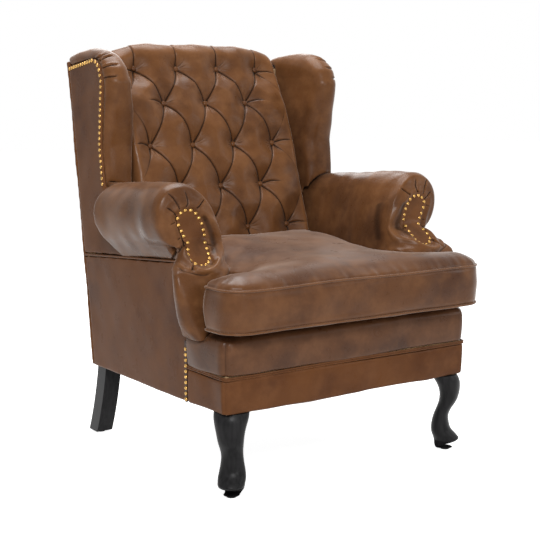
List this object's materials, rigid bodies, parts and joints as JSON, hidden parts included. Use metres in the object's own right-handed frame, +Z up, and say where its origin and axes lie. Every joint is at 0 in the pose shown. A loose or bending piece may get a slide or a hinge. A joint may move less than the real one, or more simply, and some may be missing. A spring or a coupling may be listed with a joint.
{
  "type": "wingback armchair",
  "caption": "Wingback armchair with a deep-buttoned back, scrolled arms, nailed edges, a loose seat cushion and cabriole front legs.",
  "frame": {"origin": "on the floor, below the middle of the outer box", "axes": "+Z up, the chair faces -Y, +X to the right of someone who looks at its front"},
  "size_m": [0.8344, 0.8095, 1.031],
  "materials": {
    "leather": "hand-rubbed antique brown, satin",
    "cushion_leather": "hand-rubbed antique brown, satin",
    "facing_leather": "antique brown, satin",
    "deck_leather": "antique brown, satin",
    "dark_leather": "dark brown, satin",
    "frame_wood": "sawn hardwood",
    "dark_wood": "black satin lacquer",
    "webbing": "woven elastic",
    "nails": "antique brass",
    "glides": "matte",
    "steel": "zinc plated",
    "dust_cloth": "thin black cloth"
  },
  "bodies": {
    "chair": {"arm_facing_left": "facing_leather", "arm_facing_right": "facing_leather", "arm_pad_left": "leather", "arm_pad_right": "leather", "arm_post_pad_left": "leather", "arm_post_pad_right": "leather", "arm_rail_left": "frame_wood", "arm_rail_right": "frame_wood", "arm_stump_left": "frame_wood", "arm_stump_right": "frame_wood", "arm_welt_left": "leather", "arm_welt_right": "leather", "back_buttons": "leather", "back_post_left": "frame_wood", "back_post_right": "frame_wood", "back_webbing": "webbing", "corner_blocks": "frame_wood", "crest_rail": "frame_wood", "dust_cover": "dust_cloth", "facing_nails_left": "nails", "facing_nails_right": "nails", "front_border_band": "leather", "front_border_roll": "leather", "front_border_welt": "leather", "front_leg_left": "dark_wood", "front_leg_right": "dark_wood", "front_seat_rail": "frame_wood", "leg_bolts": "steel", "leg_glides": "glides", "lower_back_rail": "frame_wood", "outside_arm_panel_left": "leather", "outside_arm_panel_right": "leather", "outside_back_panel": "leather", "outside_wing_panel_left": "leather", "outside_wing_panel_right": "leather", "rear_leg_left": "dark_wood", "rear_leg_right": "dark_wood", "rear_seat_rail": "frame_wood", "seat_deck": "deck_leather", "seat_webbing": "webbing", "side_seat_rail_left": "frame_wood", "side_seat_rail_right": "frame_wood", "side_strip_left": "dark_leather", "side_strip_right": "dark_leather", "strip_nails_left": "nails", "strip_nails_right": "nails", "tufted_back_pad": "leather", "wing_frame_left": "frame_wood", "wing_frame_right": "frame_wood", "wing_nails_left": "nails", "wing_nails_right": "nails", "wing_pad_left": "leather", "wing_pad_right": "leather"},
    "cushion": {"seat_cushion": "cushion_leather", "cushion_top_welt": "cushion_leather", "cushion_bottom_welt": "cushion_leather"}
  },
  "joints": [
    {"name": "cushion_lift", "type": "slide", "parent": "chair", "child": "cushion", "axis": [0, 0, 1], "range_m": [0, 0.7]}
  ]
}
